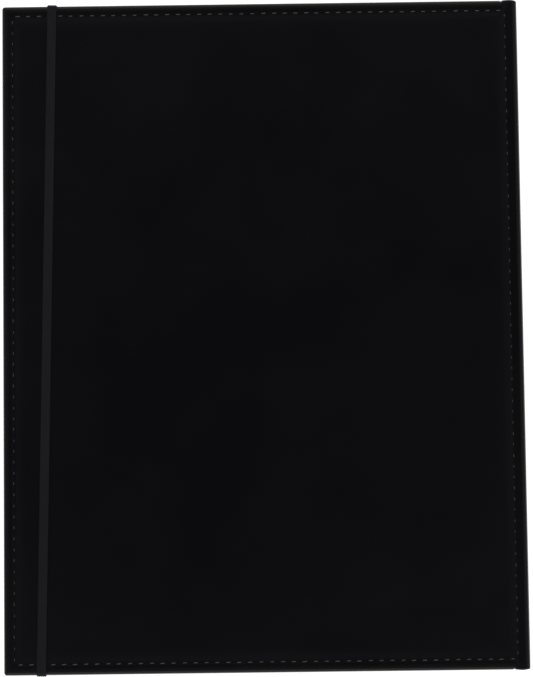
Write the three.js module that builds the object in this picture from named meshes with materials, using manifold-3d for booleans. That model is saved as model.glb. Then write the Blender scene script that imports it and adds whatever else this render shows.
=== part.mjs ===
// Music folder: two stiff covers wrapped in black leatherette, joined by a narrow spine.
// It lies closed on its front cover, with the back cover up, the spine at +X and the head at +Y.
// Millimetres, +Z up. The origin is under the middle of the closed folder, on the surface it lies on.

import * as THREE from "three";
import { mergeVertices } from "three/addons/utils/BufferGeometryUtils.js";
import Module from "manifold-3d";

const wasm = await Module();
wasm.setup();

// Overall size, for sheets of 229 x 305 mm
const coverHeight = 311; // head to tail
const coverWidth = 241; // fore-edge to the outside of the spine
const closedThickness = 12; // over both covers, without the elastic band

// Materials as they are bought
const leatherette = 0.8;
const coverBoard = 1.6;
const spineBoard = 1.2;
const liningCloth = 0.4;
const pocketCloth = 0.6;
const glueLine = 0.05; // left between any two glued layers

// How the leatherette goes round the boards
const turnIn = 14; // width that is turned over to the inside
const rimRadius = 1; // where it bends round a board's edge
const boardCorner = 1.3; // corners at the fore-edge, seen from above
const spineCorner = 2; // corners at the spine, seen from above
const hingeStrip = 7.5; // from the board's edge to the outside of the spine
const hingeRadius = 2.5; // where it bends from a cover into the spine
const creaseGap = 0.3; // between the cover's and the spine's leatherette, at the crease
const spineBoardMargin = 0.8; // from the end of each bend to the edge of the spine board

// Lining and pockets
const liningMargin = 3; // leatherette left bare round the lining
const pocketHeight = 125;
const pocketHem = 10;
const pocketSeamWidth = 10; // strip beside the spine that is sewn down to the lining
const pocketSpineMargin = 1.5; // from the board's edge to the pocket's

// Sewing round each cover
const seamInset = 5; // from the fore-edge, head and tail
const seamFromSpine = 6; // from the outside of the spine
const grooveWidth = 0.9;
const grooveDepth = 0.5;
const threadWidth = 0.5;
const threadHeight = 0.4;

// Elastic band, which sits a little askew
const bandWidth = 4.4;
const bandThickness = 0.6;
const bandFromEdgeAtHead = 23.5;
const bandFromEdgeAtTail = 17.2;
const bandEndMargin = 2; // from each glued end to the inner edge of the turn-in, under the lining
const bandClearance = 0.1; // over the cover's face
const bandEdgeClearance = 0.25; // beyond the cover's head and tail edges
const bandSlotClearance = 0.4; // to each side, in its slot
const bandBend = 0.4; // inside radius

// Places that follow from these sizes. Inside a cover, z runs inwards from the cover's outer face.
const head = coverHeight / 2;
const foreEdge = -coverWidth / 2;
const spineFace = coverWidth / 2;
const boardEdge = spineFace - hingeStrip;
const boardBottom = leatherette + glueLine;
const boardTop = boardBottom + coverBoard;
const turnInBottom = boardTop + glueLine;
const turnInTop = turnInBottom + leatherette;
const liningBottom = turnInTop + glueLine;
const liningTop = liningBottom + liningCloth;
const liningFloor = turnInBottom + liningCloth; // where the lining lies on the board itself
const pocketBottom = liningTop + glueLine;
const pocketTop = pocketBottom + pocketCloth;
const windowEdge = turnIn + glueLine; // from the cover's edge to the stepped-down lining
const pocketMouth = -head + liningMargin + pocketHeight;
const excess = 5; // how far a cutting block runs past what it cuts
const arcSteps = 5;

const materials = {
  leatherette: new THREE.MeshStandardMaterial({ color: 0x141416, roughness: 0.42, metalness: 0 }),
  board: new THREE.MeshStandardMaterial({ color: 0x8f8a80, roughness: 0.9, metalness: 0 }),
  lining: new THREE.MeshStandardMaterial({ color: 0x1b1b1d, roughness: 0.85, metalness: 0 }),
  pocket: new THREE.MeshStandardMaterial({ color: 0x17171a, roughness: 0.6, metalness: 0 }),
  thread: new THREE.MeshStandardMaterial({ color: 0x34343a, roughness: 0.55, metalness: 0 }),
  elastic: new THREE.MeshStandardMaterial({ color: 0x232324, roughness: 0.8, metalness: 0 }),
};

// A closed geometry as a solid that can be joined and cut
function toSolid(geometry) {
  const bare = new THREE.BufferGeometry();
  bare.setAttribute("position", geometry.getAttribute("position"));
  if (geometry.index) bare.setIndex(geometry.index);
  const merged = mergeVertices(bare, 1e-4);
  const mesh = new wasm.Mesh({
    numProp: 3,
    vertProperties: merged.attributes.position.array,
    triVerts: new Uint32Array(merged.index.array),
  });
  return new wasm.Manifold(mesh);
}

function toGeometry(solid) {
  const mesh = solid.getMesh();
  const geometry = new THREE.BufferGeometry();
  geometry.setAttribute("position", new THREE.BufferAttribute(mesh.vertProperties, 3));
  geometry.setIndex(new THREE.BufferAttribute(mesh.triVerts, 1));
  geometry.computeVertexNormals();
  return geometry;
}

function joined(solids) {
  return solids.reduce((whole, solid) => whole.add(solid));
}

function cut(solid, tools) {
  return tools.reduce((left, tool) => left.subtract(tool), solid);
}

function slab([x0, x1], [y0, y1], [z0, z1]) {
  const box = new THREE.BoxGeometry(x1 - x0, y1 - y0, z1 - z0);
  box.translate((x0 + x1) / 2, (y0 + y1) / 2, (z0 + z1) / 2);
  return toSolid(box);
}

// A slab with a smaller slab taken out of it, as a frame or as a stepped-down tray
function frame(outside, inside) {
  return slab(...outside).subtract(slab(...inside));
}

// An outline in the XZ plane, drawn as [x, z] points anticlockwise, run along Y
function alongY(points, [y0, y1]) {
  const outline = new THREE.Shape(points.map(([x, z]) => new THREE.Vector2(x, -z)).reverse());
  const run = new THREE.ExtrudeGeometry(outline, { depth: y1 - y0, bevelEnabled: false });
  run.applyMatrix4(
    new THREE.Matrix4().makeBasis(
      new THREE.Vector3(1, 0, 0),
      new THREE.Vector3(0, 0, -1),
      new THREE.Vector3(0, 1, 0),
    ),
  );
  run.translate(0, y0, 0);
  return toSolid(run);
}

function arc([cx, cz], radius, from, to) {
  return Array.from({ length: arcSteps + 1 }, (_, i) => {
    const angle = from + ((to - from) * i) / arcSteps;
    return [cx + radius * Math.cos(angle), cz + radius * Math.sin(angle)];
  });
}

// The folder's outline from above: tight corners at the fore-edge, softer ones at the spine
function planOutline() {
  const outline = new THREE.Shape();
  const corner = (x, y, r, from) => outline.absarc(x, y, r, from, from + Math.PI / 2, false);
  corner(spineFace - spineCorner, head - spineCorner, spineCorner, 0);
  corner(foreEdge + boardCorner, head - boardCorner, boardCorner, Math.PI / 2);
  corner(foreEdge + boardCorner, -head + boardCorner, boardCorner, Math.PI);
  corner(spineFace - spineCorner, -head + spineCorner, spineCorner, (3 * Math.PI) / 2);
  return outline;
}

// A plate of that outline whose edges are rounded, from z = 0 to its thickness
function roundedPlate(thickness, radius) {
  const plate = new THREE.ExtrudeGeometry(planOutline(), {
    depth: thickness - 2 * radius,
    bevelThickness: radius,
    bevelSize: radius,
    bevelOffset: -radius,
    bevelSegments: 3,
    curveSegments: 4,
  });
  plate.translate(0, 0, radius);
  return toSolid(plate);
}

function planPrism() {
  const prism = new THREE.ExtrudeGeometry(planOutline(), {
    depth: closedThickness,
    bevelEnabled: false,
    curveSegments: 4,
  });
  return toSolid(prism);
}

// The crease at the corner of the section is a cut at 45 degrees through the hinge's pivot.
const bendCentre = spineFace - hingeRadius;
const creaseAngle = creaseGap / 2 / (hingeRadius - leatherette);

// The sheet from the board's edge to the crease, in section
function hingeSection(thickness) {
  const centre = [bendCentre, hingeRadius];
  const down = -Math.PI / 2;
  const crease = -Math.PI / 4 - creaseAngle;
  return [
    [boardEdge - excess, 0],
    ...arc(centre, hingeRadius, down, crease),
    ...arc(centre, hingeRadius - thickness, crease, down),
    [boardEdge - excess, thickness],
  ];
}

// The band lies along its own line, which is turned a little from the Y axis.
const bandCentre = foreEdge + (bandFromEdgeAtHead + bandFromEdgeAtTail) / 2;
const bandSlant = -Math.atan((bandFromEdgeAtHead - bandFromEdgeAtTail) / coverHeight);
const bandReach = (head + bandEdgeClearance) / Math.cos(bandSlant);
const bandEnd = head - turnIn + bandEndMargin;
const bandInsideTop = turnInBottom + glueLine;

// Sets a geometry made with the band along Y into the band's own place
function alongBand(geometry) {
  return geometry.rotateZ(bandSlant).translate(bandCentre, 0, 0);
}

function bandSlot(end) {
  const length = bandReach - bandEnd + bandSlotClearance + excess;
  const width = bandWidth + 2 * bandSlotClearance;
  const slot = new THREE.BoxGeometry(width, length, leatherette + excess);
  const middle = bandEnd - bandSlotClearance + length / 2;
  slot.translate(0, end * middle, turnInBottom + (leatherette + excess) / 2);
  return toSolid(alongBand(slot));
}

// Leatherette: wrapped round the board on three sides and turned in, and a single sheet at the hinge
function coverLeatherette(slots) {
  const wrapped = cut(roundedPlate(turnInTop, rimRadius), [
    slab(
      [boardEdge, spineFace + excess],
      [-head - excess, head + excess],
      [-excess, turnInTop + excess],
    ),
    slab(
      [foreEdge + leatherette, boardEdge + excess],
      [-head + leatherette, head - leatherette],
      [leatherette, turnInBottom],
    ),
    slab(
      [foreEdge + turnIn, boardEdge + excess],
      [-head + turnIn, head - turnIn],
      [turnInBottom - glueLine, turnInTop + excess],
    ),
  ]);
  const hinge = joined([
    alongY(hingeSection(leatherette), [-head, head]),
    alongY(hingeSection(2 * leatherette), [-head, -head + turnIn]),
    alongY(hingeSection(2 * leatherette), [head - turnIn, head]),
  ]);
  const beyondBoard = slab([boardEdge, spineFace], [-head, head], [0, closedThickness]);
  const strip = hinge.intersect(beyondBoard).intersect(planPrism());
  return cut(wrapped.add(strip), [seamRing(grooveWidth, [-excess, grooveDepth]), ...slots]);
}

// A ring of the seam's rectangle, of any width and height
function seamRing(width, z) {
  const half = width / 2;
  const reach = (out) => [
    [foreEdge + seamInset - out, spineFace - seamFromSpine + out],
    [-head + seamInset - out, head - seamInset + out],
  ];
  const [z0, z1] = z;
  return frame([...reach(half), z], [...reach(-half), [z0 - excess, z1 + excess]]);
}

function coverBoardPlate() {
  const inset = leatherette + glueLine;
  return slab(
    [foreEdge + inset, boardEdge],
    [-head + inset, head - inset],
    [boardBottom, boardTop],
  );
}

// Lining: over the turned-in leatherette, stepped down onto the board, and down into the hinge
function coverLining() {
  const step = windowEdge + liningCloth;
  const across = [-head + windowEdge, head - windowEdge];
  const overTurnIn = slab(
    [foreEdge + liningMargin, boardEdge],
    [-head + liningMargin, head - liningMargin],
    [liningBottom, liningTop],
  );
  const steppedDown = slab([foreEdge + windowEdge, boardEdge], across, [turnInBottom, liningTop]);
  const well = slab(
    [foreEdge + step, boardEdge + excess],
    [-head + step, head - step],
    [liningFloor, liningTop + excess],
  );
  const hingeSide = boardEdge + glueLine + liningCloth;
  const intoHinge = joined([
    slab([boardEdge - excess, hingeSide], across, [turnInBottom, liningFloor]),
    slab([boardEdge + glueLine, hingeSide], across, [boardBottom, liningFloor]),
    slab([boardEdge + glueLine, bendCentre], across, [boardBottom, boardBottom + liningCloth]),
  ]);
  return overTurnIn.add(steppedDown).subtract(well).add(intoHinge);
}

// Pocket: open at its mouth, with the hem turned in, and sewn down to the lining beside the spine
function coverPocket() {
  const spineSide = boardEdge - pocketSpineMargin;
  const sewnFrom = spineSide - pocketSeamWidth;
  const lowest = -head + windowEdge + liningCloth + glueLine;
  const floor = liningFloor + glueLine;
  const panel = slab(
    [foreEdge + liningMargin, spineSide],
    [-head + liningMargin, pocketMouth],
    [pocketBottom, pocketTop],
  );
  const sewnDown = slab([sewnFrom, spineSide], [lowest, pocketMouth], [floor, pocketTop]);
  const well = slab(
    [sewnFrom + pocketCloth, spineSide + excess],
    [lowest + pocketCloth, pocketMouth + excess],
    [floor + pocketCloth, pocketTop + excess],
  );
  const hemSide = foreEdge + windowEdge + liningCloth + bandSlotClearance;
  const hem = slab(
    [hemSide, sewnFrom + pocketCloth],
    [pocketMouth - pocketHem, pocketMouth],
    [pocketBottom - pocketCloth, pocketBottom + glueLine],
  );
  return panel.add(sewnDown).subtract(well).add(hem);
}

function seamThread() {
  const under = (grooveDepth - threadHeight) / 2;
  return seamRing(threadWidth, [under, under + threadHeight]);
}

// Elastic band: over the back cover, round its head and tail edges, and in under the lining
function elasticBand() {
  const outside = bandReach + bandThickness;
  const top = -bandClearance - bandThickness;
  const bottom = bandInsideTop + bandThickness;
  const outer = bandBend + bandThickness;
  const section = new THREE.Shape();
  const bend = (y, z, r, from, clockwise) =>
    section.absarc(y, z, r, from, from + (clockwise ? -1 : 1) * (Math.PI / 2), clockwise);
  const low = bottom - outer;
  const high = top + outer;
  section.moveTo(bandEnd, bottom);
  section.lineTo(bandEnd, bandInsideTop);
  bend(bandReach - bandBend, bandInsideTop - bandBend, bandBend, Math.PI / 2, true);
  bend(bandReach - bandBend, bandBend - bandClearance, bandBend, 0, true);
  bend(bandBend - bandReach, bandBend - bandClearance, bandBend, -Math.PI / 2, true);
  bend(bandBend - bandReach, bandInsideTop - bandBend, bandBend, Math.PI, true);
  section.lineTo(-bandEnd, bandInsideTop);
  section.lineTo(-bandEnd, bottom);
  bend(outer - outside, low, outer, Math.PI / 2, false);
  bend(outer - outside, high, outer, Math.PI, false);
  bend(outside - outer, high, outer, (3 * Math.PI) / 2, false);
  bend(outside - outer, low, outer, 0, false);
  const band = new THREE.ExtrudeGeometry(section, {
    depth: bandWidth,
    bevelEnabled: false,
    curveSegments: 4,
  });
  band.translate(0, 0, -bandWidth / 2);
  band.applyMatrix4(
    new THREE.Matrix4().makeBasis(
      new THREE.Vector3(0, 1, 0),
      new THREE.Vector3(0, 0, 1),
      new THREE.Vector3(1, 0, 0),
    ),
  );
  return toSolid(alongBand(band));
}

// The spine's layers stand upright, outermost first.
const spineBoardFace = spineFace - leatherette - glueLine;
const spineBoardBack = spineBoardFace - spineBoard;
const spineTurnInFace = spineBoardBack - glueLine;
const spineTurnInBack = spineTurnInFace - leatherette;
const spineStrip = [
  hingeRadius + spineBoardMargin,
  closedThickness - hingeRadius - spineBoardMargin,
];

// Leatherette of the spine: from crease to crease, with its head and tail turned in
function spineLeatherette() {
  const below = [bendCentre, hingeRadius];
  const above = [bendCentre, closedThickness - hingeRadius];
  const crease = Math.PI / 4 - creaseAngle;
  const inner = hingeRadius - leatherette;
  const sheet = alongY(
    [
      ...arc(below, hingeRadius, -crease, 0),
      ...arc(above, hingeRadius, 0, crease),
      ...arc(above, inner, crease, 0),
      ...arc(below, inner, 0, -crease),
    ],
    [-head, head],
  );
  const ends = [-1, 1].map((end) => {
    const outer = end * head;
    const range = (a, b) => (a < b ? [a, b] : [b, a]);
    return joined([
      slab([spineTurnInBack, spineFace], range(outer, outer - end * leatherette), spineStrip),
      slab([spineTurnInBack, spineTurnInFace], range(outer, outer - end * turnIn), spineStrip),
    ]);
  });
  return joined([sheet, ...ends]).intersect(planPrism());
}

function spineBoardPlate() {
  const reach = head - leatherette - glueLine;
  return slab([spineBoardBack, spineBoardFace], [-reach, reach], spineStrip);
}

// Lining of the spine: over the turned-in head and tail, and stepped down onto the spine board
function spineLining() {
  const face = spineTurnInBack - glueLine;
  const back = face - liningCloth;
  const step = head - windowEdge;
  const overTurnIn = slab([back, face], [-head + liningMargin, head - liningMargin], spineStrip);
  const steppedDown = slab([back, spineTurnInFace], [-step, step], spineStrip);
  const well = slab(
    [back - excess, spineTurnInFace - liningCloth],
    [liningCloth - step, step - liningCloth],
    [-excess, closedThickness + excess],
  );
  return overTurnIn.add(steppedDown).subtract(well);
}

function part(name, material, solid) {
  const mesh = new THREE.Mesh(toGeometry(solid), material);
  mesh.name = name;
  return mesh;
}

function cover(name, slots) {
  const group = new THREE.Group();
  group.add(
    part(`${name}_cover_leatherette`, materials.leatherette, coverLeatherette(slots)),
    part(`${name}_cover_board`, materials.board, coverBoardPlate()),
    part(`${name}_cover_lining`, materials.lining, coverLining()),
    part(`${name}_pocket`, materials.pocket, coverPocket()),
    part(`${name}_seam_thread`, materials.thread, seamThread()),
  );
  return group;
}

const folder = new THREE.Group();

const frontCover = cover("front", []);

const spine = new THREE.Group();
spine.add(
  part("spine_leatherette", materials.leatherette, spineLeatherette()),
  part("spine_board", materials.board, spineBoardPlate()),
  part("spine_lining", materials.lining, spineLining()),
);

// The back cover is the front cover's mirror image, on top of it.
const backCover = cover("back", [bandSlot(1), bandSlot(-1)]);
backCover.add(part("elastic_band", materials.elastic, elasticBand()));
backCover.scale.z = -1;
backCover.position.z = closedThickness;

folder.add(frontCover, spine, backCover);

export default folder;
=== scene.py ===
# %% [markdown]
# # A music folder in black leatherette
#
# The object is a stiff folder for sheet music. Two boards and a narrow spine board are wrapped in one sheet
# of black leatherette. Its edges are turned in, a woven lining covers them, and a seam runs round each cover.
# An elastic band is parked over the back cover. The construction is already fixed to the tenth of a
# millimetre, so this script takes every place from it and only adds what the eye reads: soft edges, stitches,
# woven ribs, grain and light.

# %% Load the construction
import math

import bmesh
import bpy
from mathutils import Euler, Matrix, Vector


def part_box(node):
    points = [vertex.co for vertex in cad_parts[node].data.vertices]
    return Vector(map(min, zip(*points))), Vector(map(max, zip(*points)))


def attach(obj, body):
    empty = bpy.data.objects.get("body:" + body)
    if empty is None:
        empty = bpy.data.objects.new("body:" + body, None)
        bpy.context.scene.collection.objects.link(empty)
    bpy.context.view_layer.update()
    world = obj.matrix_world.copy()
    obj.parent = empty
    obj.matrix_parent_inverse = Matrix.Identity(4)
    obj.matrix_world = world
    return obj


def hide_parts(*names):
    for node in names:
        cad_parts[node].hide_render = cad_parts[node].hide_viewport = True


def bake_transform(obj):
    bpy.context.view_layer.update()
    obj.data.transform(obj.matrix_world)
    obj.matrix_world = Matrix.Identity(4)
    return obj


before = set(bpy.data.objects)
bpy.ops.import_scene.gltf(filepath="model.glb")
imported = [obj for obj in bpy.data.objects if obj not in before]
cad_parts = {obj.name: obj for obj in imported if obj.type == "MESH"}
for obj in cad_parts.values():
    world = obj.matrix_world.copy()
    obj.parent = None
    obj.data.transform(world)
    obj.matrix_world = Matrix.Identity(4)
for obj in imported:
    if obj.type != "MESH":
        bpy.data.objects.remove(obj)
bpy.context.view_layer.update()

# %% [markdown]
# ## Sizes
#
# Places are read from the construction, in metres. A cover is described by three numbers that stay the same
# for both covers: x across the unrolled folder, y from tail to head, and the depth below the cover's outer
# face. The back cover is the front cover's mirror image, on top of it.

# %% Read the places of the layers
mm = 0.001
skin_low, skin_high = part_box("front_cover_leatherette")
board_low, board_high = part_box("front_cover_board")
lining_low, lining_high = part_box("front_cover_lining")
pocket_low, pocket_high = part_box("front_pocket")
thread_low, thread_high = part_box("front_seam_thread")
spine_board_low, spine_board_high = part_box("spine_board")
band_low, band_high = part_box("elastic_band")

fore_edge = skin_low.x
head = skin_high.y
spine_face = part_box("spine_leatherette")[1].x
closed_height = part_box("back_cover_leatherette")[1].z
middle = closed_height / 2
leather = board_low.z
wrapped_board = skin_high.z
board_edge = board_high.x
thread_width = 0.5 * mm
seam_left = thread_low.x + thread_width / 2
seam_right = thread_high.x - thread_width / 2
seam_head = thread_high.y - thread_width / 2
turn_in = 14 * mm
bend_radius = 2.5 * mm
bend_start = spine_face - bend_radius
spine_start = bend_start + bend_radius * math.pi / 2
spine_middle = spine_start + middle - bend_radius
print(f"cover {(spine_face - fore_edge) / mm:.1f} x {2 * head / mm:.1f} mm")
print(f"closed {closed_height / mm:.1f} mm, leatherette {leather / mm:.2f} mm with its glue")

# %% [markdown]
# ## Camera
#
# The photograph looks almost straight down from rather more than a metre, a little from the tail side, so the
# far edge is slightly shorter than the near one. The camera's place, turn and lens were worked out from the
# folder's edges in the picture, which is 533 pixels wide and 677 high.

# %% Place the camera
camera_data = bpy.data.cameras.new("camera")
camera_data.lens = 137.2
camera_data.sensor_width = 36
camera = bpy.data.objects.new("camera", camera_data)
camera.location = (0.0058, -0.1114, 1.2)
camera.rotation_euler = Euler((math.radians(5.252), math.radians(0.273), math.radians(-0.708)))
bpy.context.collection.objects.link(camera)
bpy.context.scene.camera = camera

# %% [markdown]
# ## A way to write materials and light
#
# Each finish, and the light too, is a small graph of nodes. One function adds a node, sets what kind of noise
# or mix it is, and fills its sockets with numbers or with links. Colours are written as a designer would pick
# them, as hex values on a screen, and turned into the linear light that the renderer works with.


# %% Helpers for materials
def linear(hex_colour):
    """A screen colour such as 1a2b3c as linear red, green, blue and a full alpha."""
    parts = [int(hex_colour[i:i + 2], 16) / 255 for i in (0, 2, 4)]
    lit = [c / 12.92 if c <= 0.04045 else ((c + 0.055) / 1.055) ** 2.4 for c in parts]
    return (*lit, 1.0)


def add(tree, kind, sockets=None, **settings):
    """Adds a node, sets its settings, and fills its sockets with values or links."""
    made = tree.nodes.new(kind)
    for name, value in settings.items():
        setattr(made, name, value)
    for key, value in (sockets or {}).items():
        if isinstance(value, bpy.types.NodeSocket):
            tree.links.new(value, made.inputs[key])
        else:
            made.inputs[key].default_value = value
    return made


def finish_named(name):
    """A new material with its shader, the shader's tree, and the place on the object in metres."""
    material = bpy.data.materials.new(name)
    material.use_nodes = True
    tree = material.node_tree
    shader = tree.nodes["Principled BSDF"]
    place = add(tree, "ShaderNodeTexCoord").outputs["Object"]
    return material, tree, shader, place


# %% [markdown]
# ## Light
#
# Black leatherette shows hardly any colour of its own, so what we see is the room's reflection in it. The
# studio is one large dome. Overhead and near the horizon it is dark, so the cover stays black from every
# side. Between them runs a bright belt, which grazes the grain, the rounded rim and the thread. The belt is
# brighter towards head and tail than at the sides, as with two long lamps, and slightly warm, while the
# ceiling is cool. The darkest spot is where the middle of the cover mirrors it, so the corners come out a
# touch lighter.

# %% Set the studio dome
belt_level = 1.5
side_share = 0.14
ceiling_level = 0.24
belt_tint = (1.0, 1.0, 0.87)
ceiling_tint = (0.92, 0.92, 1.0)
darkest = Vector((-0.005, 0.092, 0.9957))

dome = bpy.data.worlds.new("studio_dome")
dome.use_nodes = True
dome_tree = dome.node_tree
direction = add(dome_tree, "ShaderNodeTexCoord").outputs["Generated"]
aim = add(dome_tree, "ShaderNodeSeparateXYZ", {"Vector": direction})
by_height = add(dome_tree, "ShaderNodeValToRGB", {"Fac": aim.outputs["Z"]})
steps = by_height.color_ramp.elements
steps[0].color = (0.2, 0.2, 0.2, 1.0)
steps[1].position = 0.93
steps[1].color = (0.0, 0.0, 0.0, 1.0)
for height, share in ((0.35, 0.25), (0.55, 1.0), (0.75, 1.0)):
    steps.new(height).color = (share, share, share, 1.0)
endways = add(dome_tree, "ShaderNodeMath", {0: aim.outputs["Y"], 1: 2.0}, operation="POWER")
towards_ends = add(dome_tree, "ShaderNodeMapRange", {
    "Value": endways.outputs[0], "From Min": 0.0, "From Max": 0.8, "To Min": side_share * belt_level,
    "To Max": belt_level})
belt = add(dome_tree, "ShaderNodeMath", {
    0: by_height.outputs["Color"], 1: towards_ends.outputs["Result"]}, operation="MULTIPLY")
nearness = add(dome_tree, "ShaderNodeVectorMath", {0: direction, 1: darkest}, operation="DOT_PRODUCT")
ceiling = add(dome_tree, "ShaderNodeMapRange", {
    "Value": nearness.outputs["Value"], "From Min": 1.0, "From Max": 0.97, "To Min": 0.0,
    "To Max": ceiling_level})
cool = add(dome_tree, "ShaderNodeVectorMath", {0: ceiling_tint, "Scale": ceiling.outputs["Result"]},
           operation="SCALE")
warm = add(dome_tree, "ShaderNodeVectorMath", {0: belt_tint, "Scale": belt.outputs[0]}, operation="SCALE")
light = add(dome_tree, "ShaderNodeVectorMath", {0: warm.outputs[0], 1: cool.outputs[0]}, operation="ADD")
dome_tree.links.new(light.outputs[0], dome_tree.nodes["Background"].inputs["Color"])
dome_tree.nodes["Background"].inputs["Strength"].default_value = 1.0
bpy.context.scene.world = dome
bpy.context.scene.view_settings.view_transform = "Standard"
print("light: belt", belt_level, "ceiling", ceiling_level)

# %% [markdown]
# ## Black leatherette
#
# Leatherette is a film of soft PVC on cloth, embossed with a fine pebble by a steel roller. The film is
# nearly black and has a satin gloss. Three things break its reflection up: the pebble, a slow unevenness
# where glue and board show through, and patches that are a little duller where hands have polished or
# scuffed it. The pebble of the real film is about 0.4 mm across, and is drawn at 0.7 mm so that it still
# shows in the picture.


# %% The leatherette's finish
def leatherette_finish(name, colour, dull_colour, gloss_range, pebble_depth):
    """Embossed PVC film: near black, satin, pebbled."""
    material, tree, shader, place = finish_named(name)
    pebble_width = 0.7 * mm
    patch_width = 45 * mm
    dent_width = 16 * mm
    patches = add(tree, "ShaderNodeTexNoise", {
        "Vector": place, "Scale": 1 / patch_width, "Detail": 3.0, "Roughness": 0.55})
    pebbles = add(tree, "ShaderNodeTexVoronoi", {
        "Vector": place, "Scale": 1 / pebble_width, "Smoothness": 0.6, "Randomness": 0.9},
                  feature="SMOOTH_F1")
    pores = add(tree, "ShaderNodeTexNoise", {
        "Vector": place, "Scale": 3 / pebble_width, "Detail": 2.0})
    dents = add(tree, "ShaderNodeTexNoise", {
        "Vector": place, "Scale": 1 / dent_width, "Detail": 1.0})
    shade = add(tree, "ShaderNodeMix", {
        "Factor": patches.outputs["Fac"], "A": linear(colour), "B": linear(dull_colour)}, data_type="RGBA")
    gloss = add(tree, "ShaderNodeMapRange", {
        "Value": patches.outputs["Fac"], "From Min": 0.35, "From Max": 0.65,
        "To Min": gloss_range[0], "To Max": gloss_range[1]})
    slow = add(tree, "ShaderNodeBump", {
        "Height": dents.outputs["Fac"], "Strength": 1.0, "Distance": 0.12 * mm})
    embossed = add(tree, "ShaderNodeBump", {
        "Height": pebbles.outputs["Distance"], "Normal": slow.outputs["Normal"], "Strength": 1.0,
        "Distance": pebble_depth})
    grained = add(tree, "ShaderNodeBump", {
        "Height": pores.outputs["Fac"], "Normal": embossed.outputs["Normal"], "Strength": 1.0,
        "Distance": pebble_depth * 0.3})
    tree.links.new(shade.outputs["Result"], shader.inputs["Base Color"])
    tree.links.new(gloss.outputs["Result"], shader.inputs["Roughness"])
    tree.links.new(grained.outputs["Normal"], shader.inputs["Normal"])
    shader.inputs["Specular IOR Level"].default_value = 0.25
    return material


leatherette = leatherette_finish("embossed_pvc_leatherette", "0b0b0e", "0d0d10", (0.2, 0.24), 0.018 * mm)
pocket_leatherette = leatherette_finish("pocket_leatherette", "101012", "141417", (0.4, 0.5), 0.03 * mm)

# %% [markdown]
# ## Lining, elastic, thread and board
#
# The lining is a plain-woven cloth: threads pass over and under each other in both directions, which makes a
# small chequer of raised ends. The elastic is woven too, but its rubber cords run lengthwise and show as
# ribs, with the cross threads as a fine ladder between them. Sewing thread is polyester, twisted from plies,
# so it glints. Grey board is pressed paper pulp, dull and speckled.


# %% The woven and paper finishes
def lining_finish():
    """Plain-woven black cloth with a chequer of raised threads, 0.6 mm apart."""
    material, tree, shader, place = finish_named("woven_lining_cloth")
    thread_gap = 0.6 * mm
    turns = 2 * math.pi / thread_gap
    axes = add(tree, "ShaderNodeSeparateXYZ", {"Vector": place})
    waves = []
    for axis in ("X", "Y"):
        phase = add(tree, "ShaderNodeMath", {0: axes.outputs[axis], 1: turns}, operation="MULTIPLY")
        waves.append(add(tree, "ShaderNodeMath", {0: phase.outputs[0]}, operation="SINE"))
    weave = add(tree, "ShaderNodeMath", {
        0: waves[0].outputs[0], 1: waves[1].outputs[0]}, operation="MULTIPLY")
    slubs = add(tree, "ShaderNodeTexNoise", {"Vector": place, "Scale": 1 / (3 * mm), "Detail": 3.0})
    shade = add(tree, "ShaderNodeMix", {
        "Factor": slubs.outputs["Fac"], "A": linear("17171a"), "B": linear("26262a")}, data_type="RGBA")
    raised = add(tree, "ShaderNodeBump", {"Height": weave.outputs[0], "Strength": 1.0, "Distance": 0.05 * mm})
    uneven = add(tree, "ShaderNodeBump", {
        "Height": slubs.outputs["Fac"], "Normal": raised.outputs["Normal"], "Strength": 1.0,
        "Distance": 0.1 * mm})
    tree.links.new(shade.outputs["Result"], shader.inputs["Base Color"])
    tree.links.new(uneven.outputs["Normal"], shader.inputs["Normal"])
    shader.inputs["Roughness"].default_value = 0.8
    shader.inputs["Specular IOR Level"].default_value = 0.25
    return material


def elastic_finish():
    """Flat woven elastic: the ribs are in the mesh, and the cross threads and lint are drawn here."""
    material, tree, shader, place = finish_named("woven_elastic")
    pick_gap = 0.55 * mm
    axes = add(tree, "ShaderNodeSeparateXYZ", {"Vector": place})
    phase = add(tree, "ShaderNodeMath", {
        0: axes.outputs["Y"], 1: 2 * math.pi / pick_gap}, operation="MULTIPLY")
    picks = add(tree, "ShaderNodeMath", {0: phase.outputs[0]}, operation="SINE")
    lint = add(tree, "ShaderNodeTexNoise", {"Vector": place, "Scale": 1 / (1.2 * mm), "Detail": 4.0})
    shade = add(tree, "ShaderNodeMix", {
        "Factor": lint.outputs["Fac"], "A": linear("15151a"), "B": linear("22222a")}, data_type="RGBA")
    ladder = add(tree, "ShaderNodeBump", {"Height": picks.outputs[0], "Strength": 1.0, "Distance": 0.03 * mm})
    fuzz = add(tree, "ShaderNodeBump", {
        "Height": lint.outputs["Fac"], "Normal": ladder.outputs["Normal"], "Strength": 1.0,
        "Distance": 0.06 * mm})
    tree.links.new(shade.outputs["Result"], shader.inputs["Base Color"])
    tree.links.new(fuzz.outputs["Normal"], shader.inputs["Normal"])
    shader.inputs["Roughness"].default_value = 0.6
    shader.inputs["Specular IOR Level"].default_value = 0.15
    return material


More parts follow.
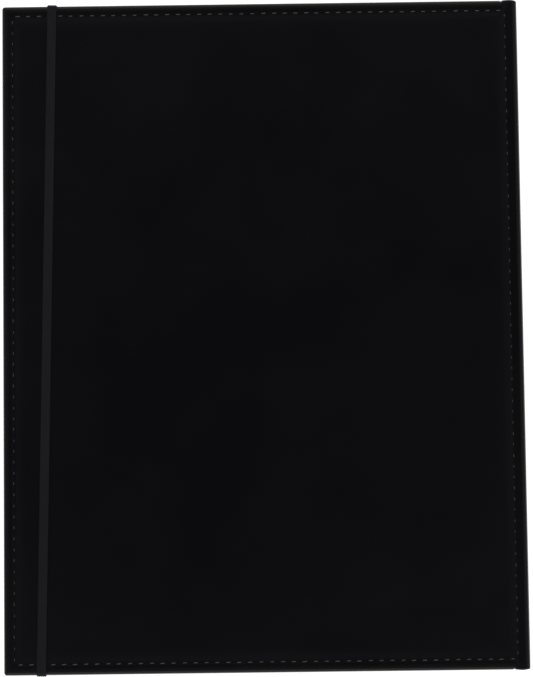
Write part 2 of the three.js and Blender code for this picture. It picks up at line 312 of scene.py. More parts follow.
def thread_finish():
    """Twisted polyester thread: dark, with a glint on each ply."""
    material, tree, shader, place = finish_named("polyester_sewing_thread")
    ply_gap = 0.7 * mm
    # The node's diagonal bands repeat every 2 pi / 10 / scale, which is 0.63 / scale
    plies = add(tree, "ShaderNodeTexWave", {
        "Vector": place, "Scale": 0.63 / ply_gap, "Distortion": 0.4}, bands_direction="DIAGONAL")
    shade = add(tree, "ShaderNodeMix", {
        "Factor": plies.outputs["Fac"], "A": linear("1a1a22"), "B": linear("2b2b36")}, data_type="RGBA")
    twist = add(tree, "ShaderNodeBump", {
        "Height": plies.outputs["Fac"], "Strength": 1.0, "Distance": 0.04 * mm})
    tree.links.new(shade.outputs["Result"], shader.inputs["Base Color"])
    tree.links.new(twist.outputs["Normal"], shader.inputs["Normal"])
    shader.inputs["Roughness"].default_value = 0.28
    shader.inputs["Specular IOR Level"].default_value = 1.0
    return material


def board_finish():
    """Grey board: pressed pulp, matte and speckled."""
    material, tree, shader, place = finish_named("grey_board")
    flecks = add(tree, "ShaderNodeTexNoise", {"Vector": place, "Scale": 1 / (0.8 * mm), "Detail": 5.0})
    shade = add(tree, "ShaderNodeMix", {
        "Factor": flecks.outputs["Fac"], "A": linear("6f6a62"), "B": linear("a09a8e")}, data_type="RGBA")
    pulp = add(tree, "ShaderNodeBump", {
        "Height": flecks.outputs["Fac"], "Strength": 1.0, "Distance": 0.05 * mm})
    tree.links.new(shade.outputs["Result"], shader.inputs["Base Color"])
    tree.links.new(pulp.outputs["Normal"], shader.inputs["Normal"])
    shader.inputs["Roughness"].default_value = 0.92
    return material


lining_cloth = lining_finish()
elastic = elastic_finish()
thread = thread_finish()
grey_board = board_finish()
print("finishes:", sorted(material.name for material in bpy.data.materials))

# %% [markdown]
# ## From a flat sheet to a closed folder
#
# Everything soft on a cover is first drawn flat, as if the folder lay open with its outside down, and then
# bent up round the corner between cover and spine. One function does the bending: before the corner nothing
# changes, round the corner the sheet follows an arc, and after it the sheet stands upright. Because all
# layers share it, they stay parallel.


# %% Bending and stepping
def ramp(value, start, end):
    """0 before start, 1 after end, and a soft step between them."""
    t = min(max((value - start) / (end - start), 0.0), 1.0)
    return t * t * (3 - 2 * t)


def hump(value, centre, half_width):
    """1 at the centre, falling softly to 0 at half_width on either side."""
    return 1 - ramp(abs(value - centre), 0.0, half_width)


def bent(x, y, depth):
    """A place on the flat folder, carried to where the closed folder has it."""
    past = x - bend_start
    if past <= 0:
        return (x, y, depth)
    turned = past / bend_radius
    if turned < math.pi / 2:
        reach = bend_radius - depth
        return (bend_start + reach * math.sin(turned), y, bend_radius - reach * math.cos(turned))
    return (spine_face - depth, y, bend_radius + x - spine_start)


board_layer = wrapped_board - 2 * leather
spine_layer = spine_board_high.x - spine_board_low.x + 0.1 * mm
spine_board_start = spine_start + spine_board_low.z - bend_radius


def board_under(x):
    """Thickness of the board that the leatherette is wrapped round, at x on the flat folder."""
    in_cover = 1 - ramp(x, board_edge - 0.2 * mm, board_edge + 1.0 * mm)
    in_spine = ramp(x, spine_board_start - 0.7 * mm, spine_board_start + 0.2 * mm)
    return board_layer * in_cover + spine_layer * in_spine


print(f"wrapped over the board {wrapped_board / mm:.2f} mm, in the hinge {2 * leather / mm:.2f} mm")

# %% [markdown]
# ## The outer face
#
# The outer face is almost flat, and the little that it isn't makes it real. The seam pulls the film into a
# groove, which is steep towards the cover's edge and gentle towards the middle. Outside the seam the film
# swells into a rim. Between the board's edge and the spine there is nothing behind it, so it dips. Over the
# whole face the glue leaves slow waves of a few hundredths of a millimetre. Every change goes inwards, so
# the folder still lies flat on its front cover.


# %% Relief of the outer face
def seam_distance(x, y):
    """Distance from a place on the flat cover to the seam's rectangle."""
    outside_x = max(seam_left - x, x - seam_right)
    outside_y = abs(y) - seam_head
    if outside_x > 0 or outside_y > 0:
        return math.hypot(max(outside_x, 0), max(outside_y, 0))
    return min(-outside_x, -outside_y)


def slow_waves(x, y):
    """Unevenness of the glued film, from 0 to 1: two waves of about 100 and 130 mm that wander."""
    across_cover = math.sin(x * 61 + 1.3 * math.sin(y * 23))
    along_cover = math.sin(y * 47 + 1.7 * math.sin(x * 31))
    return 0.5 + 0.25 * across_cover + 0.25 * along_cover


groove_depth = 0.17 * mm
hinge_dip = 0.15 * mm
wave_height = 0.05 * mm


def face_depth(x, y):
    """How far the outer face lies below the flat, at a place on the flat folder."""
    inside = seam_left < x < seam_right and abs(y) < seam_head
    slope_width = 2.6 * mm if inside else 0.75 * mm
    groove = groove_depth * math.exp(-((seam_distance(x, y) / slope_width) ** 2))
    dip = hinge_dip * hump(x, (board_edge + bend_start) / 2 + 0.4 * mm, 2.6 * mm)
    return groove + dip + wave_height * slow_waves(x, y)


# %% [markdown]
# ## How the edge is wrapped
#
# The edge is a loft: one profile is carried round three sides of the cover and on along the head and tail of
# the hinge and the spine. The profile starts on the outer face, crosses the seam and the rim, goes round the
# board's edge and ends on the turned-in strip inside. In plan the loft's rings are U-shaped outlines, each a
# little further in than the last, with a tight corner at the fore-edge. The rest of the outer face is a
# plain grid that is welded to the innermost ring.

# %% Stations along the outline
corner_radius = 1.3 * mm
tiny = 0.004 * mm
band_width = 4.4 * mm
band_at_head = band_high.x - band_width / 2
band_at_tail = band_low.x + band_width / 2


def spaced(start, end, step):
    """Even places from start to end, at most a step apart."""
    count = max(1, math.ceil(abs(end - start) / step))
    return [start + (end - start) * i / count for i in range(count)]


across = [fore_edge + turn_in]
for stop, step in (
    (band_at_tail - 3.4 * mm, 0.4 * mm),
    (band_at_head + 3.4 * mm, 0.45 * mm),
    (seam_right - 4 * mm, 3.2 * mm),
    (seam_right - 1.6 * mm, 0.6 * mm),
    (seam_right + 1.6 * mm, 0.25 * mm),
    (bend_start, 0.5 * mm),
    (spine_start + 1.6 * mm, 0.35 * mm),
    (spine_middle, 0.6 * mm),
):
    if stop > across[-1]:
        across += spaced(across[-1], stop, step)[1:] + [stop]
along = spaced(-head + turn_in, head - turn_in, 3.2 * mm) + [head - turn_in]
print("grid:", len(across), "x", len(along))


def outline_stations():
    """The U from the spine's head end to the fore-edge and back along the tail.

    Each station is an x on the flat folder and a function that gives the place at an inset from the edge.
    """
    def corner_reach(inset):
        return max(corner_radius, inset + tiny)

    strip_steps = 8
    corner_steps = 5
    upper = [(x, lambda inset, x=x: (x, head - inset)) for x in reversed(across)]
    for k in range(1, strip_steps + 1):
        upper.append((fore_edge, lambda inset, s=k / strip_steps: (
            fore_edge + turn_in + (corner_reach(inset) - turn_in) * s, head - inset)))
    for k in range(1, corner_steps + 1):
        upper.append((fore_edge, lambda inset, a=math.pi / 2 * (1 + k / corner_steps): (
            fore_edge + corner_reach(inset) + (corner_reach(inset) - inset) * math.cos(a),
            head - corner_reach(inset) + (corner_reach(inset) - inset) * math.sin(a))))
    for k in range(1, strip_steps + 1):
        upper.append((fore_edge, lambda inset, s=k / strip_steps: (
            fore_edge + inset, head - corner_reach(inset) + (corner_reach(inset) - turn_in) * s)))
    side = [(fore_edge, lambda inset, y=y: (fore_edge + inset, y)) for y in reversed(along[1:-1])]
    lower = [(hint, lambda inset, place=place: (place(inset)[0], -place(inset)[1])) for hint, place in upper]
    return upper + side + lower[::-1]


# %% The profile carried round the outline
FACE_INSETS = [turn_in] + [v * mm for v in (
    11, 9, 7.6, 6.8, 6.3, 5.9, 5.6, 5.3, 5.0, 4.7, 4.4, 4.1, 3.7, 3.2, 2.7, 2.2)]
FLANGE_INSETS = [v * mm for v in (1.5, 2.2, 3.5, 6, 9)] + [turn_in]
ARC_STEPS = 6


def rim_radii(x):
    """Radius of the wrapped edge towards the outside and the inside of the folder."""
    total = 2 * leather + board_under(x)
    on_spine = ramp(x, bend_start, spine_start)
    return min(total / 2, (1.4 + 0.3 * on_spine) * mm), min(total / 2, 1.0 * mm)


def profile(x, dent):
    """The wrapped edge at x, from the outer face to the end of the turned-in strip: (inset, depth) pairs."""
    total = 2 * leather + board_under(x) - dent
    outer, inner = rim_radii(x)
    crown = min(0.35 * mm * board_under(x) / board_layer, max(0.0, total - outer - inner))

    def crowned(inset):
        """How far the face has dropped towards the edge, over the last 2.8 mm."""
        return crown * max(0.0, 1 - inset / (2.8 * mm)) ** 2

    points = [(inset, crowned(inset)) for inset in FACE_INSETS]
    for k in range(ARC_STEPS + 1):
        angle = math.pi / 2 * k / ARC_STEPS
        inset = outer * (1 - math.sin(angle))
        points.append((inset, outer * (1 - math.cos(angle)) + crowned(inset)))
    for k in range(ARC_STEPS + 1):
        angle = math.pi / 2 * k / ARC_STEPS
        points.append((inner * (1 - math.cos(angle)), total - inner * (1 - math.sin(angle))))
    return points + [(inset, total) for inset in FLANGE_INSETS]


# %% [markdown]
# ## Building the leatherette
#
# The sheet is made twice, once for each cover, and each half ends in the middle of the spine. There the
# surfaces meet edge to edge with the same direction, so no join shows. Two halves are needed because the
# bending above carries a sheet round one corner only. Solidify then gives the film its thickness, towards the
# board.


# %% Meshes from points
def to_back(point):
    """The same place on the back cover."""
    return (point[0], point[1], closed_height - point[2])


def piece_from(name, points, faces, material, thickness, towards):
    """A smooth mesh from points and faces, welded, with its good side turned the right way, and thickened.

    towards is a test that picks some faces of the good side, and the direction in which they look.
    """
    mesh = bpy.data.meshes.new(name)
    mesh.from_pydata(points, [], faces)
    work = bmesh.new()
    work.from_mesh(mesh)
    bmesh.ops.remove_doubles(work, verts=work.verts, dist=0.008 * mm)
    bmesh.ops.dissolve_degenerate(work, edges=work.edges, dist=0.002 * mm)
    bmesh.ops.recalc_face_normals(work, faces=work.faces)
    picked, way = towards
    pull = sum((face.normal * face.calc_area() for face in work.faces if picked(face)), Vector())
    if pull.dot(Vector(way)) < 0:
        bmesh.ops.reverse_faces(work, faces=work.faces)
    work.to_mesh(mesh)
    work.free()
    piece = bpy.data.objects.new(name, mesh)
    bpy.context.collection.objects.link(piece)
    mesh.materials.append(material)
    if thickness:
        wall = piece.modifiers.new("thickness", "SOLIDIFY")
        wall.thickness = thickness
        wall.offset = -1.0
        bpy.context.view_layer.update()
        solid = bpy.data.meshes.new_from_object(
            piece.evaluated_get(bpy.context.evaluated_depsgraph_get()))
        piece.modifiers.remove(wall)
        piece.data = solid
        solid.name = name
        bpy.data.meshes.remove(mesh)
    piece.data.polygons.foreach_set("use_smooth", [True] * len(piece.data.polygons))
    piece.data.set_sharp_from_angle(angle=math.radians(60))
    print(name, len(piece.data.vertices), "points", len(piece.data.polygons), "faces")
    return piece


def grid_faces(row_count, column_count, first=0):
    """Faces of a grid of points that was listed row by row."""
    return [
        (first + r * column_count + c, first + r * column_count + c + 1,
         first + (r + 1) * column_count + c + 1, first + (r + 1) * column_count + c)
        for r in range(row_count - 1) for c in range(column_count - 1)
    ]


# %% The two halves of the leatherette
film_thickness = 0.72 * mm
slot_depth = 0.78 * mm


def wrapped_leatherette(name, back):
    """One cover's leatherette with half of the spine's. The back one has slots for the band at its edges."""
    def place(x, y, depth):
        spot = bent(x, y, depth)
        return to_back(spot) if back else spot

    stations = outline_stations()
    points = []
    face_count = len(FACE_INSETS)
    columns = []
    for hint, at in stations:
        y_side = 1 if at(turn_in)[1] > 0 else -1
        band_x = band_at_head if y_side > 0 else band_at_tail
        beside = abs(hint - band_x) - band_width / 2
        in_slot = 1 - ramp(beside, 0.25 * mm, 1 * mm) if back else 0.0
        column = []
        for step, (inset, depth) in enumerate(profile(hint, slot_depth * in_slot)):
            x, y = at(inset)
            fade = 1.0 if step < face_count else max(0.0, 1 - depth / (0.8 * mm))
            swell = 0.22 * mm * hump(x, (board_edge + spine_face) / 2, 3.4 * mm)
            notch = 0.3 * mm * hump(x, board_edge + 0.1 * mm, 0.8 * mm)
            near_edge = 1 - ramp(inset, 0.0, 2.2 * mm)
            y += y_side * (swell - notch) * near_edge if abs(y) > head - turn_in else 0.0
            column.append((x, y, depth + fade * face_depth(x, y)))
        columns.append(column)
    rows = len(columns[0])
    for step in range(rows):
        points += [place(*column[step]) for column in columns]
    faces = grid_faces(rows, len(columns))
    first = len(points)
    points += [place(x, y, face_depth(x, y)) for y in along for x in across]
    faces += grid_faces(len(along), len(across), first)
    outside = (lambda f: abs(f.normal.z) > 0.9 and f.calc_center_median().x < 0.1 and (
        (f.calc_center_median().z > closed_height - 0.6 * mm) if back
        else f.calc_center_median().z < 0.6 * mm), (0, 0, 1 if back else -1))
    return piece_from(name, points, faces, leatherette, film_thickness, outside)


front_skin = wrapped_leatherette("front_leatherette_wrap", back=False)
back_skin = wrapped_leatherette("back_leatherette_wrap", back=True)

# %% [markdown]
# ## Lining
#
# The lining is one cloth on each side of the fold. It lies on the turned-in strip near the edges, steps down
# onto the bare board in the middle, drops into the hinge and climbs onto the spine board. It is drawn as a
# height over the flat folder, bent like the rest, and given a cloth's thickness.


# %% Height of the inside layers
def over_strip(x, y):
    """1 where the turned-in strip lies under the lining, 0 over the bare board."""
    edge = min(x - fore_edge, head - abs(y))
    return 1 - ramp(edge, turn_in - 0.3 * mm, turn_in + 0.9 * mm)


lining_thickness = 0.4 * mm
glue_line = 0.05 * mm
lining_on_board = board_high.z + glue_line + lining_thickness


def lining_depth(x, y):
    """Depth of the lining's visible side."""
    strip = over_strip(x, y) * (lining_high.z - lining_on_board)
    deep = leather + board_under(x) + lining_thickness + strip
    if bend_start < x < spine_start:
        return min(deep, bend_radius - 0.06 * mm)
    return deep


def lining_half(name, back):
    """One cover's lining with half of the spine's."""
    xs = [lining_low.x]
    for stop, step in (
        (fore_edge + turn_in - 0.6 * mm, 2.2 * mm),
        (fore_edge + turn_in + 1.4 * mm, 0.25 * mm),
        (board_edge - 0.8 * mm, 5 * mm),
        (bend_start, 0.3 * mm),
        (spine_board_start + 0.8 * mm, 0.3 * mm),
        (spine_middle, 0.7 * mm),
    ):
        xs += spaced(xs[-1], stop, step)[1:] + [stop]
    half = [0.0]
    for stop, step in (
        (head - turn_in - 1.4 * mm, 5 * mm),
        (head - turn_in + 0.6 * mm, 0.25 * mm),
        (lining_high.y, 2.2 * mm),
    ):
        half += spaced(half[-1], stop, step)[1:] + [stop]
    ys = [-v for v in reversed(half[1:])] + half
    points = [bent(x, y, lining_depth(x, y)) for y in ys for x in xs]
    if back:
        points = [to_back(p) for p in points]
    inside = (lambda f: f.calc_center_median().x < 0.1, (0, 0, -1 if back else 1))
    return piece_from(name, points, grid_faces(len(ys), len(xs)), lining_cloth, 0.34 * mm, inside)


front_lining = lining_half("front_lining_cloth", back=False)
back_lining = lining_half("back_lining_cloth", back=True)

# %% [markdown]
# ## Pockets
#
# Each pocket is a strip of thinner leatherette across the tail half of the cover. Three sides are sewn down
# and the side towards the head is open, with its edge folded under and stitched. The panel sags a little
# between its seams, and is thicker at the hem. The sheet is drawn from the tail to the mouth, round the fold
# and back underneath.

# %% The pockets
mouth = pocket_high.y
hem = 10 * mm
hem_fold = 0.6 * mm
sewn_from = pocket_high.x - 10 * mm


def pocket_depth(x, y):
    """Depth of the pocket's visible side."""
    width_share = (x - pocket_low.x) / (sewn_from - pocket_low.x)
    length_share = (y - pocket_low.y) / (mouth - pocket_low.y)
    loose = math.sin(math.pi * min(max(width_share, 0.0), 1.0)) * ramp(length_share, 0.05, 0.5)
    sewn = ramp(x, sewn_from - 5 * mm, sewn_from + 1 * mm)
    over_tail_strip = over_strip(fore_edge + 0.1, y)
    lowered = (pocket_high.z - lining_on_board - hem_fold) * sewn * (1 - over_tail_strip)
    side = over_strip(x, 0.0) * ramp(y, mouth - hem - 1 * mm, mouth - hem + 0.6 * mm)
    return pocket_high.z - 0.3 * mm * loose - lowered + 0.5 * hem_fold * side


def pocket_panel(name, back):
    """A pocket's panel with its hem folded under."""
    xs = [pocket_low.x]
    for stop, step in ((fore_edge + turn_in + 1.5 * mm, 1.5 * mm), (sewn_from - 5 * mm, 5 * mm),
                       (sewn_from + 1 * mm, 0.6 * mm), (pocket_high.x, 1.5 * mm)):
        xs += spaced(xs[-1], stop, step)[1:] + [stop]
    points = []
    top = [pocket_low.y]
    for stop, step in ((-head + turn_in + 1.5 * mm, 1.2 * mm), (mouth - hem - 2 * mm, 4 * mm),
                       (mouth - hem_fold, 0.7 * mm)):
        top += spaced(top[-1], stop, step)[1:] + [stop]
    for y in top:
        points += [(x, y, pocket_depth(x, y)) for x in xs]
    fold_steps = 6
    for k in range(1, fold_steps + 1):
        angle = math.pi * k / fold_steps
        y = mouth - hem_fold + hem_fold * math.sin(angle)
        under = hem_fold * (1 - math.cos(angle)) / 2
        points += [(x, y, pocket_depth(x, mouth - hem_fold) - under) for x in xs]
    rows = len(top) + fold_steps
    if back:
        points = [to_back(p) for p in points]
    inside = (lambda f: f.calc_center_median().y < mouth - 2 * mm, (0, 0, -1 if back else 1))
    return piece_from(name, points, grid_faces(rows, len(xs)), pocket_leatherette, 0.5 * mm, inside)


front_pocket = pocket_panel("front_pocket_panel", back=False)
back_pocket = pocket_panel("back_pocket_panel", back=True)

# %% [markdown]
# ## Stitches
#
# A seam is a row of like stitches, which is what Geometry Nodes are for. The seam's path is a curve. The tree
# divides it at the needle's pitch, sets one short arched thread at each hole, turns it along the path and a
# little askew, as a lockstitch lies, and joins them all. No two are pulled equally tight, so each has its
# own size. The stitch itself is a curve that rises out of one hole and dives into the next, swept with a
# round section.


# %% The tree that sews
def sewing_tree():
    """Geometry nodes that lay stitches along a curve."""
    tree = bpy.data.node_groups.new("sewing", "GeometryNodeTree")
    tree.interface.new_socket("Geometry", in_out="INPUT", socket_type="NodeSocketGeometry")
    for name in ("Pitch", "Thread", "Rise", "Dive", "Slant", "Wander", "Smallest"):
        tree.interface.new_socket(name, in_out="INPUT", socket_type="NodeSocketFloat")
    tree.interface.new_socket("Up", in_out="INPUT", socket_type="NodeSocketVector")
    tree.interface.new_socket("Seed", in_out="INPUT", socket_type="NodeSocketInt")
    tree.interface.new_socket("Finish", in_out="INPUT", socket_type="NodeSocketMaterial")
    tree.interface.new_socket("Geometry", in_out="OUTPUT", socket_type="NodeSocketGeometry")
    given = add(tree, "NodeGroupInput").outputs
    holes = add(tree, "GeometryNodeResampleCurve", {"Curve": given["Geometry"], "Length": given["Pitch"]},
                mode="LENGTH")
    half_pitch = add(tree, "ShaderNodeMath", {0: given["Pitch"], 1: 0.5}, operation="MULTIPLY")
    stitch_start = add(tree, "ShaderNodeMath", {0: given["Pitch"], 1: 0.05}, operation="MULTIPLY")
    stitch_end = add(tree, "ShaderNodeMath", {0: given["Pitch"], 1: 0.95}, operation="MULTIPLY")
    under = add(tree, "ShaderNodeMath", {0: given["Dive"], 1: -1.0}, operation="MULTIPLY")
    start = add(tree, "ShaderNodeCombineXYZ", {"X": stitch_start.outputs[0], "Z": under.outputs[0]})
    top = add(tree, "ShaderNodeCombineXYZ", {"X": half_pitch.outputs[0], "Z": given["Rise"]})
    end = add(tree, "ShaderNodeCombineXYZ", {"X": stitch_end.outputs[0], "Z": under.outputs[0]})
    arch = add(tree, "GeometryNodeCurveQuadraticBezier", {
        "Resolution": 8, "Start": start.outputs[0], "Middle": top.outputs[0], "End": end.outputs[0]})
    radius = add(tree, "ShaderNodeMath", {0: given["Thread"], 1: 0.5}, operation="MULTIPLY")
    section = add(tree, "GeometryNodeCurvePrimitiveCircle", {"Resolution": 8, "Radius": radius.outputs[0]})
    stitch = add(tree, "GeometryNodeCurveToMesh", {
        "Curve": arch.outputs[0], "Profile Curve": section.outputs["Curve"], "Fill Caps": True})
    tangent = add(tree, "GeometryNodeInputTangent")
    ahead = add(tree, "FunctionNodeAlignRotationToVector", {"Vector": tangent.outputs[0]}, axis="X")
    upright = add(tree, "FunctionNodeAlignRotationToVector", {
        "Rotation": ahead.outputs[0], "Vector": given["Up"]}, axis="Z", pivot_axis="X")
    least = add(tree, "ShaderNodeMath", {0: given["Slant"], 1: given["Wander"]}, operation="SUBTRACT")
    most = add(tree, "ShaderNodeMath", {0: given["Slant"], 1: given["Wander"]}, operation="ADD")
    askew = add(tree, "FunctionNodeRandomValue", {
        "Min": least.outputs[0], "Max": most.outputs[0], "Seed": given["Seed"]}, data_type="FLOAT")
    turn = add(tree, "ShaderNodeCombineXYZ", {"Z": askew.outputs["Value"]})
    turned = add(tree, "FunctionNodeRotateRotation", {
        "Rotation": upright.outputs[0], "Rotate By": turn.outputs[0]}, rotation_space="LOCAL")
    last = add(tree, "GeometryNodeCurveEndpointSelection", {"Start Size": 0, "End Size": 1})
    kept = add(tree, "FunctionNodeBooleanMath", {0: last.outputs[0]}, operation="NOT")
    tension = add(tree, "FunctionNodeRandomValue", {
        "Min": given["Smallest"], "Max": 1.0, "Seed": given["Seed"]}, data_type="FLOAT")
    laid = add(tree, "GeometryNodeInstanceOnPoints", {
        "Points": holes.outputs[0], "Selection": kept.outputs[0], "Instance": stitch.outputs[0],
        "Rotation": turned.outputs[0], "Scale": tension.outputs["Value"]})
    real = add(tree, "GeometryNodeRealizeInstances", {"Geometry": laid.outputs[0]})
    smooth = add(tree, "GeometryNodeSetShadeSmooth", {"Geometry": real.outputs[0]})
    coloured = add(tree, "GeometryNodeSetMaterial", {
        "Geometry": smooth.outputs[0], "Material": given["Finish"]})
    add(tree, "NodeGroupOutput", {"Geometry": coloured.outputs[0]})
    return tree


sewing = sewing_tree()


stitch_pitch = 5.0 * mm


def sew(name, paths, up, width, rise, dive, seed):
    """Sews along each path, a list of points, and returns all the stitches as one mesh."""
    made = []
    for number, path in enumerate(paths):
        length = sum((Vector(q) - Vector(p)).length for p, q in zip(path, path[1:]))
        even_pitch = length / round(length / stitch_pitch)
        line = bpy.data.curves.new(f"{name}_path_{number}", "CURVE")
        line.dimensions = "3D"
        spline = line.splines.new("POLY")
        spline.points.add(len(path) - 1)
        spline.points.foreach_set("co", [v for p in path for v in (*p, 1.0)])
        holder = bpy.data.objects.new(line.name, line)
        bpy.context.collection.objects.link(holder)
        modifier = holder.modifiers.new("sewing", "NODES")
        modifier.node_group = sewing
        values = {
            "Pitch": even_pitch * 0.9999, "Thread": width, "Rise": rise, "Dive": dive, "Slant": 0.05,
            "Wander": 0.035, "Smallest": 0.84, "Up": up, "Seed": seed + number, "Finish": thread}
        for socket in sewing.interface.items_tree:
            if socket.in_out == "INPUT" and socket.name in values:
                modifier[socket.identifier] = values[socket.name]
        bpy.context.view_layer.update()
        made.append(bpy.data.meshes.new_from_object(
            holder.evaluated_get(bpy.context.evaluated_depsgraph_get())))
        bpy.data.objects.remove(holder)
        bpy.data.curves.remove(line)
    work = bmesh.new()
    for mesh in made:
        work.from_mesh(mesh)
        bpy.data.meshes.remove(mesh)
    joined = bpy.data.meshes.new(name)
    work.to_mesh(joined)
    work.free()
    joined.materials.clear()
    joined.materials.append(thread)
    piece = bpy.data.objects.new(name, joined)
    bpy.context.collection.objects.link(piece)
    print(name, len(joined.polygons), "faces")
    return piece


# %% [markdown]
# ## The seams
#
# Each cover has one seam round it, which shows on both sides, a seam that holds the pocket's edge beside the
# spine, and one along the pocket's hem. Each path is a list of places on the flat cover, set on whatever
# surface lies there, so the stitches step up onto the pocket and down into the hinge.


# %% Sew the seams
def inside_depth(x, y):
    """Depth of the top layer inside the cover, pocket or lining."""
    in_pocket = pocket_low.x < x < pocket_high.x and pocket_low.y < y < mouth
    return pocket_depth(x, y) if in_pocket else lining_depth(x, y)


def seam_path(corners, depth_at, back):
    """Places along a straight seam, on the surface that depth_at gives."""
    (x0, y0), (x1, y1) = corners
    steps = max(2, round(math.hypot(x1 - x0, y1 - y0) / (1.5 * mm)))
    flat = [(x0 + (x1 - x0) * i / steps, y0 + (y1 - y0) * i / steps) for i in range(steps + 1)]
    path = [(x, y, depth_at(x, y)) for x, y in flat]
    return [to_back(p) for p in path] if back else path


def cover_seams(side, back):
    """All the stitches of one cover: outside, inside and on the pocket."""
    round_cover = [
        ((seam_left, seam_head), (seam_right, seam_head)),
        ((seam_right, seam_head), (seam_right, -seam_head)),
        ((seam_right, -seam_head), (seam_left, -seam_head)),
        ((seam_left, -seam_head), (seam_left, seam_head)),
    ]
    pocket_side = sewn_from + 5 * mm
    hem_seam = mouth - hem + 1.5 * mm
    on_pocket = [
        ((pocket_side, pocket_low.y + 4 * mm), (pocket_side, mouth - 1.5 * mm)),
        ((pocket_low.x + 3.5 * mm, hem_seam), (pocket_high.x - 1.5 * mm, hem_seam)),
    ]
    outward = (0, 0, 1) if back else (0, 0, -1)
    inward = (0, 0, -1) if back else (0, 0, 1)
    seed = 40 if back else 10
    # The long seams are pulled deeper into the film than the ones at head and tail
    sunk = [0.03 * mm, 0.16 * mm, 0.03 * mm, 0.14 * mm]
    outer_paths = [
        seam_path(corners, lambda x, y, extra=extra: face_depth(x, y) + extra, back)
        for corners, extra in zip(round_cover, sunk)]
    inner_paths = [
        seam_path(corners, lambda x, y: inside_depth(x, y) - 0.06 * mm, back)
        for corners in round_cover + on_pocket]
    outer = sew(f"{side}_outer_stitches", outer_paths, outward, thread_width, 1.0 * mm, 0.95 * mm, seed)
    inner = sew(f"{side}_inner_stitches", inner_paths, inward, 0.42 * mm, 0.5 * mm, 0.45 * mm, seed + 15)
    return outer, inner


front_outer_stitches, front_inner_stitches = cover_seams("front", back=False)
back_outer_stitches, back_inner_stitches = cover_seams("back", back=True)

# %% [markdown]
# ## Elastic band
#
# The band is a flat strip with a ribbed upper side, carried along a path: it starts under the lining at the
# head, comes out over the cover's edge, crosses the back cover a little askew, goes round the tail edge and
# ends under the lining again. The ribs are in the section, so that they catch light along their whole length.

# %% The band
band_thickness = 0.6 * mm
rib_count = 5
rib_height = 0.2 * mm


def band_section():
    """The band's section: (across, out) points, ribbed on the outside and flat on the inside."""
    steps = rib_count * 6
    points = []
    for i in range(steps + 1):
        share = i / steps
        side = (share - 0.5) * 2
        edge = math.sqrt(max(0.0, 1 - abs(side) ** 14))
        rib = rib_height * (0.5 - 0.5 * math.cos(2 * math.pi * rib_count * share))
        body = (band_thickness - rib_height) * (0.35 + 0.65 * edge)
        points.append(((share - 0.5) * band_width, body + rib))
    points += [((0.5 - i / 6) * (band_width - 0.1 * mm), 0.0) for i in range(7)]
    return points


def band_path():
    """The band's inner side, from its end at the head to its end at the tail: (place, outward way) pairs."""
    tuck = closed_height - board_high.z - 0.1 * mm
    face = closed_height + 0.1 * mm
    edge = head + 0.06 * mm
    turn = 0.4 * mm
    rim_turn = 1.3 * mm
    end = head - turn_in + 2 * mm
    path = [((end + (edge - turn - end) * i / 6, tuck), (0, -1)) for i in range(7)]
    for k in range(1, 7):
        a = math.pi / 2 * k / 6
        path.append(((edge - turn + turn * math.sin(a), tuck + turn - turn * math.cos(a)),
                     (math.sin(a), -math.cos(a))))
    for k in range(7):
        a = math.pi / 2 * k / 6
        path.append(((edge - rim_turn + rim_turn * math.cos(a), face - rim_turn + rim_turn * math.sin(a)),
                     (math.cos(a), math.sin(a))))
    flat_steps = 90
    half = [((y, z), way) for (y, z), way in path]
    flat = [(((edge - rim_turn) * (1 - 2 * i / flat_steps), face), (0, 1)) for i in range(1, flat_steps)]
    other = [((-y, z), (-wy, wz)) for (y, z), (wy, wz) in reversed(half)]
    return half + flat + other


def elastic_piece():
    """The ribbed strip, set askew over the back cover."""
    middle_x = (band_at_head + band_at_tail) / 2
    slant = math.atan((band_at_head - band_at_tail) / (2 * head))
    section = band_section()
    points = []
    for (y, z), (wy, wz) in band_path():
        for side, out in section:
            across_x = middle_x + y * math.tan(slant) + side * math.cos(slant)
            points.append((across_x, y + out * wy - side * math.sin(slant), z + out * wz))
    count = len(section)
    rings = len(points) // count
    faces = [
        (r * count + c, r * count + (c + 1) % count, (r + 1) * count + (c + 1) % count, (r + 1) * count + c)
        for r in range(rings - 1) for c in range(count)
    ]
    faces += [tuple(range(count)), tuple((rings - 1) * count + c for c in reversed(range(count)))]
    top = (lambda f: f.calc_center_median().z > closed_height + 0.6 * mm, (0, 0, 1))
    return piece_from("ribbed_elastic_band", points, faces, elastic, 0.0, top)


band = elastic_piece()

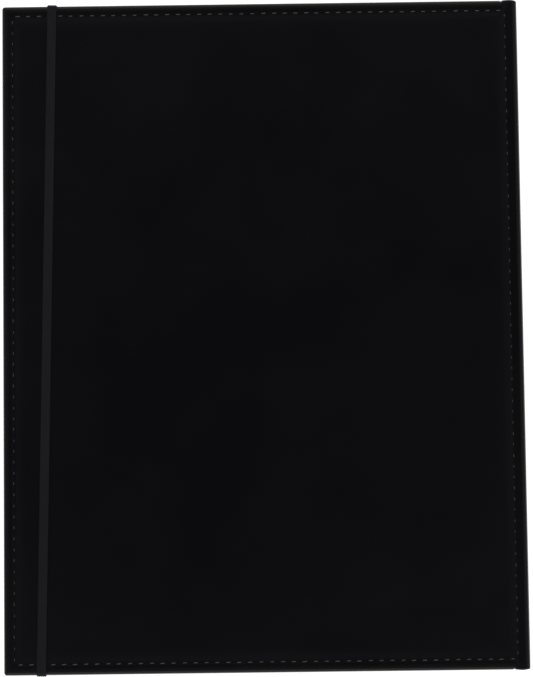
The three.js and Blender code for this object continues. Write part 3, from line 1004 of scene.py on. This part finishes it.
# %% [markdown]
# ## Floor
#
# The folder lies on a plain white light table, as for a catalogue picture: it glows a little, so the shadow
# round the folder stays faint. It is large enough to reach past the frame from any side.

# %% The floor
floor_mesh = bpy.data.meshes.new("floor")
reach = 12.0
floor_mesh.from_pydata(
    [(-reach, -reach, 0), (reach, -reach, 0), (reach, reach, 0), (-reach, reach, 0)], [], [(0, 1, 2, 3)])
floor = bpy.data.objects.new("floor", floor_mesh)
floor.location.z = -0.07 * mm
bpy.context.collection.objects.link(floor)
acrylic, _, acrylic_shader, _ = finish_named("white_acrylic_light_table")
acrylic_shader.inputs["Base Color"].default_value = linear("f4f4f4")
acrylic_shader.inputs["Roughness"].default_value = 0.9
acrylic_shader.inputs["Emission Color"].default_value = linear("ffffff")
acrylic_shader.inputs["Emission Strength"].default_value = 0.8
floor_mesh.materials.append(acrylic)

# %% [markdown]
# ## What moves with what
#
# Leatherette and lining cross the hinges; they are baked in place where they were built and follow no body.
# Everything else rides on one cover. The boards keep the construction's own shape, because they are wrapped
# all round and never seen.

# %% Bind the pieces
for piece, node, slot in (
    (front_skin, "front_cover_leatherette", "leatherette"),
    (front_lining, "front_cover_lining", "lining"),
):
    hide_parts(node)
    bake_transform(piece)
for piece, nodes, slot in (
    (back_skin, ("back_cover_leatherette", "spine_leatherette"), "leatherette"),
    (back_lining, ("back_cover_lining", "spine_lining"), "lining"),
):
    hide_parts(*nodes)
    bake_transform(piece)
for piece, body, node, slot in (
    (front_pocket, "front_cover", "front_pocket", "pocket"),
    (back_pocket, "back_cover", "back_pocket", "pocket"),
    (front_outer_stitches, "front_cover", "front_seam_thread", "thread"),
    (back_outer_stitches, "back_cover", "back_seam_thread", "thread"),
    (front_inner_stitches, "front_cover", None, "thread"),
    (back_inner_stitches, "back_cover", None, "thread"),
    (band, "back_cover", "elastic_band", "elastic"),
):
    if node:
        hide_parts(node)
    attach(piece, body)
for node in ("front_cover_board", "back_cover_board", "spine_board"):
    board_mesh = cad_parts[node].data
    board_mesh.materials.clear()
    board_mesh.materials.append(grey_board)
